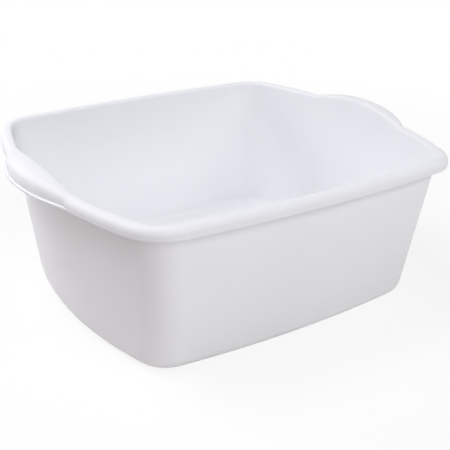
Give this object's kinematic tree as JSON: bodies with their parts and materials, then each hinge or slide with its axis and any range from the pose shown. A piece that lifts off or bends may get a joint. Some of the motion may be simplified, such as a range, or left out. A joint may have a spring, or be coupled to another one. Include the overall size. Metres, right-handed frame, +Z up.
{
  "type": "washing-up bowl",
  "caption": "White plastic washing-up bowl with bowed sloping walls, rounded corners, a rolled rim with a turned-down lip and a raised, flared handle at each end.",
  "frame": {"origin": "middle of the underside, on the table", "axes": "+Z up, +X along the length towards one handle, Y across the width"},
  "size_m": [0.4004, 0.334, 0.1537],
  "materials": {
    "white_plastic": "satin"
  },
  "bodies": {
    "root": {"bowl": "white_plastic"}
  },
  "joints": []
}
